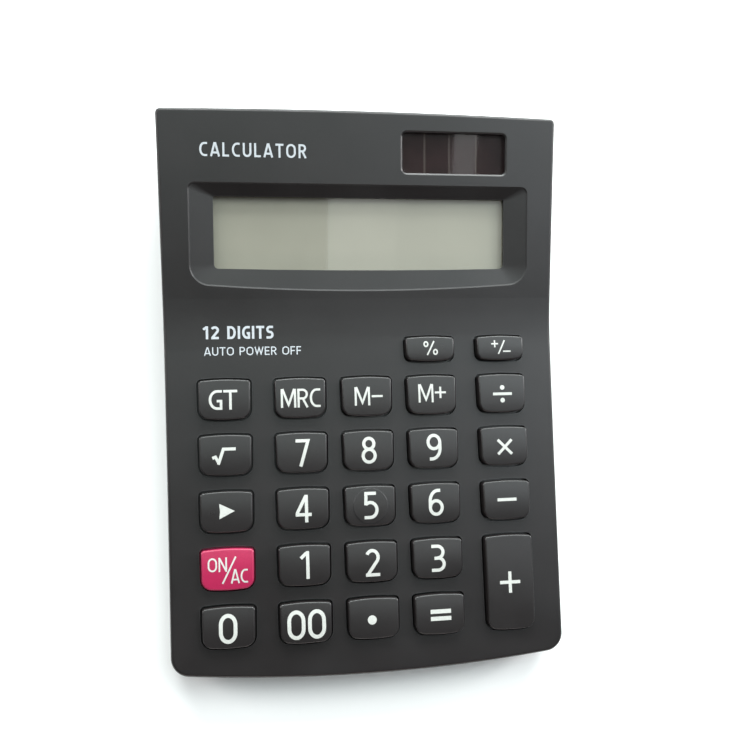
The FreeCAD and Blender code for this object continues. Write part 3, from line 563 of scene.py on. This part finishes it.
def solid(name, pts, tris, place, top, bottom, mat, body):
    """a closed thin solid over the triangles: top(x, y) and bottom(x, y) are heights in the frame place"""
    bm = bmesh.new()
    used = sorted({i for t in tris for i in t})
    up = {i: bm.verts.new(place @ Vector((pts[i][0], pts[i][1], top(*pts[i])))) for i in used}
    dn = {i: bm.verts.new(place @ Vector((pts[i][0], pts[i][1], bottom(*pts[i])))) for i in used}
    edges = {}
    for t in tris:
        a, b, c = (Vector((*pts[i], 0)) for i in t)
        t = list(t) if (b - a).cross(c - a).z > 0 else list(t)[::-1]
        bm.faces.new([up[i] for i in t])
        bm.faces.new([dn[i] for i in t[::-1]])
        for i in range(3):
            edges[(t[i], t[(i + 1) % 3])] = True
    for a, b in edges:
        if (b, a) not in edges:
            bm.faces.new([up[b], up[a], dn[a], dn[b]])
    mesh = bpy.data.meshes.new(name)
    bm.normal_update()
    bm.to_mesh(mesh)
    bm.free()
    mesh.materials.append(mat)
    o = bpy.data.objects.new(name, mesh)
    scene.collection.objects.link(o)
    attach(o, body)
    return o


trees = {}


def height_on(node_name, place):
    """the height of a node's surface in the frame place, found by dropping a ray on it"""
    if node_name not in trees:
        me = nodes[node_name].data
        trees[node_name] = BVHTree.FromPolygons([v.co for v in me.vertices], [list(p.vertices) for p in me.polygons])
    tree = trees[node_name]
    down = (place.to_3x3() @ Vector((0, 0, -1))).normalized()

    def h(x, y):
        hit = tree.ray_cast(place @ Vector((x, y, 8.0)), down)
        if hit[0] is None:
            raise ValueError(f"no surface of {node_name} under {x:.2f},{y:.2f}")
        return 8.0 - hit[3] * 1000
    return h


def legend(name, strokes, half, at, node_name, place, body, mat, fills=(), proud=0.03, sunk=0.12):
    faces = [q for p in strokes for q in ribs(p, half)]
    faces += [[Vector(v) for v in f] for f in fills]
    faces = [[Vector((v[0] + at[0], v[1] + at[1])) for v in f] for f in faces]
    pts, tris = union(faces, grid=0.0 if not fills else 0.8)
    pts = [(p[0], p[1]) for p in pts]
    h = height_on(node_name, place)
    cache = {p: h(*p) for p in {pts[i] for t in tris for i in t}}
    return solid(name, pts, tris, place, lambda x, y: cache[(x, y)] + proud, lambda x, y: cache[(x, y)] - sunk, mat, body)


COLS = (-36.5, -17.3, 0.0, 17.3, 36.5)
ROWS = (8.09, -4.09, -18.13, -32.33, -46.58, -60.83)
KEYS = {
    "key_percent": (COLS[3], ROWS[0]), "key_sign": (COLS[4], ROWS[0]),
    "key_gt": (COLS[0], ROWS[1]), "key_mrc": (COLS[1], ROWS[1]), "key_m_minus": (COLS[2], ROWS[1]),
    "key_m_plus": (COLS[3], ROWS[1]), "key_divide": (COLS[4], ROWS[1]),
    "key_sqrt": (COLS[0], ROWS[2]), "key_7": (COLS[1], ROWS[2]), "key_8": (COLS[2], ROWS[2]),
    "key_9": (COLS[3], ROWS[2]), "key_multiply": (COLS[4], ROWS[2]),
    "key_backspace": (COLS[0], ROWS[3]), "key_4": (COLS[1], ROWS[3]), "key_5": (COLS[2], ROWS[3]),
    "key_6": (COLS[3], ROWS[3]), "key_minus": (COLS[4], ROWS[3]),
    "key_on_ac": (COLS[0], ROWS[4]), "key_1": (COLS[1], ROWS[4]), "key_2": (COLS[2], ROWS[4]), "key_3": (COLS[3], ROWS[4]),
    "key_0": (COLS[0], ROWS[5]), "key_00": (COLS[1], ROWS[5]), "key_dot": (COLS[2], ROWS[5]), "key_equals": (COLS[3], ROWS[5]),
    "key_plus": (COLS[4], -53.705),
}


def key_legend(key, strokes, half, fills=(), dx=0.0, dy=0.0):
    x, y = KEYS[key]
    legend("legend_" + key[4:], strokes, half, (x + dx, y + dy), key, DECK, key, INK, fills)


DIGIT_H, DIGIT_S = 6.95, 0.82
for key, ch, dx, dy in (("key_7", "7", 0.2, -0.05), ("key_8", "8", 0.05, 0.05), ("key_9", "9", 0, 0.3),
                        ("key_4", "4", 0.1, 0), ("key_5", "5", 0.1, 0.1), ("key_6", "6", 0, 0.15),
                        ("key_1", "1", 0.2, 0.1), ("key_2", "2", 0.1, -0.2), ("key_3", "3", 0, 0.05)):
    st, _ = text(ch, DIGIT_H, DIGIT_S, 0)
    key_legend(key, st, DIGIT_S / 2, dx=dx, dy=dy)
st, _ = text("0", 7.3, 0.94, 0)
key_legend("key_0", st, 0.47, dx=-0.2, dy=-0.2)
st, _ = text("00", 7.3, 0.94, 0.09)
key_legend("key_00", st, 0.47, dx=0.1, dy=-0.4)
st, _ = text("GT", 5.0, 0.64, 0.07, 1.16)
key_legend("key_gt", st, 0.32, dx=-0.4, dy=-0.1)
st, _ = text("MRC", 4.8, 0.56, 0.07, 1.02)
key_legend("key_mrc", st, 0.28, dx=0.1, dy=-0.1)
# M and its sign
m, _ = text("M", 4.8, 0.54, 0, 1.05)
key_legend("key_m_minus", shift(m, -1.25, 0) + [[(1.2, -0.05), (4.1, -0.05)]], 0.27)
key_legend("key_m_plus", shift(m, -1.55, 0) + [[(0.85, 0.15), (3.85, 0.15)], [(2.35, 1.65), (2.35, -1.35)]], 0.26, dx=-0.1, dy=0.4)
# the operators
key_legend("key_divide", [[(-2.6, 0), (2.6, 0)]], 0.36, [disc(0, 1.70, 0.62), disc(0, -1.70, 0.62)], dy=-0.2)
key_legend("key_multiply", [[(-1.9, -1.9), (1.9, 1.9)], [(-1.9, 1.9), (1.9, -1.9)]], 0.36, dx=0.05, dy=-0.25)
key_legend("key_minus", [[(-2.6, 0), (2.6, 0)]], 0.40, dy=0.1)
key_legend("key_plus", [[(-2.75, 0), (2.75, 0)], [(0, -2.75), (0, 2.75)]], 0.42, dx=-0.15)
key_legend("key_equals", [[(-2.7, 0.90), (2.7, 0.90)], [(-2.7, -0.90), (2.7, -0.90)]], 0.52, dx=0.15, dy=-0.15)
key_legend("key_dot", [], 0.5, [disc(0, 0, 1.15, 36)], dx=-0.5, dy=-0.3)
key_legend("key_sqrt", [[(-2.9, -0.50), (-2.15, -0.22), (-1.30, -1.75)], [(-1.45, -2.10), (-0.15, 1.72), (2.95, 1.72)]], 0.38, dx=-0.4, dy=-0.2)
key_legend("key_backspace", [], 0.5, [[(-1.8, -1.9), (2.0, 0.0), (-1.8, 1.9)]], dy=0.2)
on, _ = text("ON", 3.5, 0.50, 0.08, 0.97)
ac, _ = text("AC", 3.5, 0.50, 0.05, 0.95)
key_legend("key_on_ac", shift(on, -2.55, 1.50) + shift(ac, 2.85, -1.50) + [[(2.0, 3.35), (-1.35, -3.2)]], 0.20, dy=-0.2)
ring = lambda cx, cy, rx, ry: arc(cx, cy, rx, ry, 0, 360, 20)
key_legend("key_percent", [ring(-1.25, 1.05, 0.50, 0.62), ring(1.25, -1.05, 0.50, 0.62), [(0.95, 1.85), (-0.95, -1.85)]], 0.19, dx=0.1, dy=0.15)
key_legend("key_sign", [[(-2.6, 0.9), (-0.7, 0.9)], [(-1.65, 1.85), (-1.65, -0.05)], [(1.1, 1.85), (-0.7, -1.85)], [(0.6, -1.15), (2.7, -1.15)]], 0.19, dx=0.1, dy=0.15)

# the prints on the housing: plain generic words only
st, w = text("12 DIGITS", 3.3, 0.60, 0.15, 1.06)
legend("print_digits", st, 0.30, (-41.7 + w / 2, 13.15), "front_housing", DECK, "case", PRINT)
st, w = text("AUTO POWER OFF", 2.15, 0.28, 0.17, 1.16)
legend("print_auto_off", st, 0.14, (-41.4 + w / 2, 8.35), "front_housing", DECK, "case", PRINT)
st, w = text("CALCULATOR", 3.5, 0.50, 0.20)
legend("print_calculator", st, 0.25, (-41.6 + w / 2, 44.3), "front_housing", SHOW, "case", PRINT)


# ---------------------------------------------------------------- the silicone dome mat
DOMES = dict(KEYS)
del DOMES["key_plus"]
spots = [(k, c) for k, c in DOMES.items()] + [("key_plus", (36.5, -53.705 + 7.125)), ("key_plus", (36.5, -53.705 - 7.125))]


def rounded(x0, y0, x1, y1, r):
    out = []
    for cx, cy, a in ((x1 - r, y1 - r, 0), (x0 + r, y1 - r, 90), (x0 + r, y0 + r, 180), (x1 - r, y0 + r, 270)):
        out += [Vector(v) for v in arc(cx, cy, r, r, a, a + 90, 6)]
    return out


holes = [disc(x, y, 3.7, 40) for _, (x, y) in spots]
holes += [disc(x, y, 2.0, 24) for x in (-26.9, 26.9) for y in (6.0, -18.13, -39.45, -62.5)]
pts, tris = union([rounded(-43.2, -68.2, 43.2, 12.9, 2.0)], holes)
mat_sheet = solid("dome_mat_sheet", [(p[0], p[1]) for p in pts], tris, DECK, lambda x, y: -4.8, lambda x, y: -5.4, MATS["silicone"], "case")
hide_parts("dome_sheet")
PROFILE = [(3.7, -5.4), (3.7, -4.8), (3.5, -4.66), (3.2, -4.36), (2.6, -3.70), (2.38, -3.42), (2.2, -3.3), (1.0, -3.3), (0.0, -3.3),
           (0.0, -3.9), (1.6, -3.9), (1.9, -4.16), (2.9, -5.1), (3.2, -5.4)]


def dome(name, cx, cy):
    bm = bmesh.new()
    n = 40
    rings = []
    for r, z in PROFILE:
        if r == 0:
            rings.append([bm.verts.new(DECK @ Vector((cx, cy, z)))])
        else:
            rings.append([bm.verts.new(DECK @ Vector((cx + r * math.cos(2 * math.pi * i / n), cy + r * math.sin(2 * math.pi * i / n), z))) for i in range(n)])
    for a, b in zip(rings, rings[1:] + rings[:1]):
        if len(a) == 1 and len(b) == 1:
            continue
        for i in range(n):
            j = (i + 1) % n
            f = [a[i % len(a)], a[j % len(a)], b[j % len(b)], b[i % len(b)]]
            seen = []
            for v in f:
                if v not in seen:
                    seen.append(v)
            bm.faces.new(seen)
    bmesh.ops.recalc_face_normals(bm, faces=bm.faces)
    mesh = bpy.data.meshes.new(name)
    bm.to_mesh(mesh)
    bm.free()
    for p in mesh.polygons:
        p.use_smooth = True
    mesh.set_sharp_from_angle(angle=math.radians(35))
    mesh.materials.append(MATS["silicone"])
    o = bpy.data.objects.new(name, mesh)
    scene.collection.objects.link(o)
    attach(o, "case")
    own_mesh(o)
    return o


count = {}
for key, (x, y) in spots:
    count[key] = count.get(key, 0) + 1
    tail = "_front" if key == "key_plus" and count[key] == 2 else ""
    dome("dome_" + key[4:] + tail, x, y)

# ---------------------------------------------------------------- floor and light
floor_mat = Mat("studio_floor", (0.95, 0.95, 0.95), 0.75, spec=0.2)
floor_mat.vary(3.0, 0.995, 1.005)
bm = bmesh.new()
bmesh.ops.create_grid(bm, x_segments=8, y_segments=8, size=1.15)
me = bpy.data.meshes.new("floor")
bm.to_mesh(me)
bm.free()
# the floor is seen from above only, so the underside can be looked at through it
ft = floor_mat.m.node_tree
fout = next(n for n in ft.nodes if n.type == "OUTPUT_MATERIAL")
fsrc = fout.inputs["Surface"].links[0].from_socket
fgeo, fclear, fmix = (ft.nodes.new(k) for k in ("ShaderNodeNewGeometry", "ShaderNodeBsdfTransparent", "ShaderNodeMixShader"))
ft.links.new(fgeo.outputs["Backfacing"], fmix.inputs[0])
ft.links.new(fsrc, fmix.inputs[1])
ft.links.new(fclear.outputs[0], fmix.inputs[2])
ft.links.new(fmix.outputs[0], fout.inputs["Surface"])
me.materials.append(floor_mat.m)
floor = bpy.data.objects.new("floor", me)
scene.collection.objects.link(floor)

world = bpy.data.worlds.new("studio")
scene.world = world
world.use_nodes = True
wt = world.node_tree
dim = wt.nodes["Background"]
dim.inputs["Color"].default_value = (1.0, 1.0, 1.0, 1)
dim.inputs["Strength"].default_value = 0.10
pale = wt.nodes.new("ShaderNodeBackground")
pale.inputs["Color"].default_value = (1.0, 1.0, 1.0, 1)
path, pick = wt.nodes.new("ShaderNodeLightPath"), wt.nodes.new("ShaderNodeMixShader")
wt.links.new(path.outputs["Is Camera Ray"], pick.inputs[0])
wt.links.new(dim.outputs[0], pick.inputs[1])
wt.links.new(pale.outputs[0], pick.inputs[2])
wt.links.new(pick.outputs[0], wt.nodes["World Output"].inputs["Surface"])


def area(name, at, target, w, h, power, color=(1, 1, 1)):
    d = bpy.data.lights.new(name, "AREA")
    d.shape, d.size, d.size_y, d.energy, d.color = "RECTANGLE", w, h, power, color
    o = bpy.data.objects.new(name, d)
    o.location = at
    o.rotation_mode = "QUATERNION"
    o.rotation_quaternion = (Vector(target) - Vector(at)).to_track_quat("-Z", "Y")
    scene.collection.objects.link(o)


def radiance(l, w, h):
    return l * math.pi * w * h


# a wide panel overhead to the rear, a brighter one to the right with a strip at its edge, and low side lights
area("panel_over", (0.10, 0.45, 0.95), (0.10, 0.45, 0), 1.5, 0.84, radiance(1.55, 1.5, 0.84), (0.86, 1.0, 0.98))
area("panel_left", (-0.23, -0.01, 0.95), (-0.23, -0.01, 0), 0.84, 0.08, radiance(1.9, 0.84, 0.08), (0.86, 1.0, 0.98))
area("panel_right", (0.64, 0.14, 0.93), (0.64, 0.14, 0), 0.60, 0.62, radiance(2.7, 0.60, 0.62), (0.84, 0.93, 1.0))
area("band_right", (0.265, -0.125, 0.93), (0.265, -0.125, 0), 0.15, 0.14, radiance(1.9, 0.15, 0.14), (0.95, 1.0, 0.97))
area("band_edge", (0.145, -0.125, 0.93), (0.145, -0.125, 0), 0.09, 0.14, radiance(2.3, 0.09, 0.14), (0.97, 1.0, 0.97))
area("strip_solar", (0.270, -0.015, 0.92), (0.270, -0.015, 0), 0.030, 0.075, radiance(1.9, 0.030, 0.075))
area("low_rear", (0.10, 1.00, 0.62), (0, 0, 0.02), 1.3, 0.40, 28.0, (0.95, 1.0, 0.99))
area("low_right", (1.00, 0.35, 0.45), (0, 0, 0.02), 0.4, 0.8, 12.0)
area("low_left", (-1.00, 0.40, 0.50), (0, 0, 0.02), 0.4, 0.8, 8.0, (1.0, 0.98, 0.97))
area("low_front", (0.0, -1.10, 0.25), (0, 0, 0.02), 0.9, 0.25, 2.5, (1.0, 0.88, 0.85))
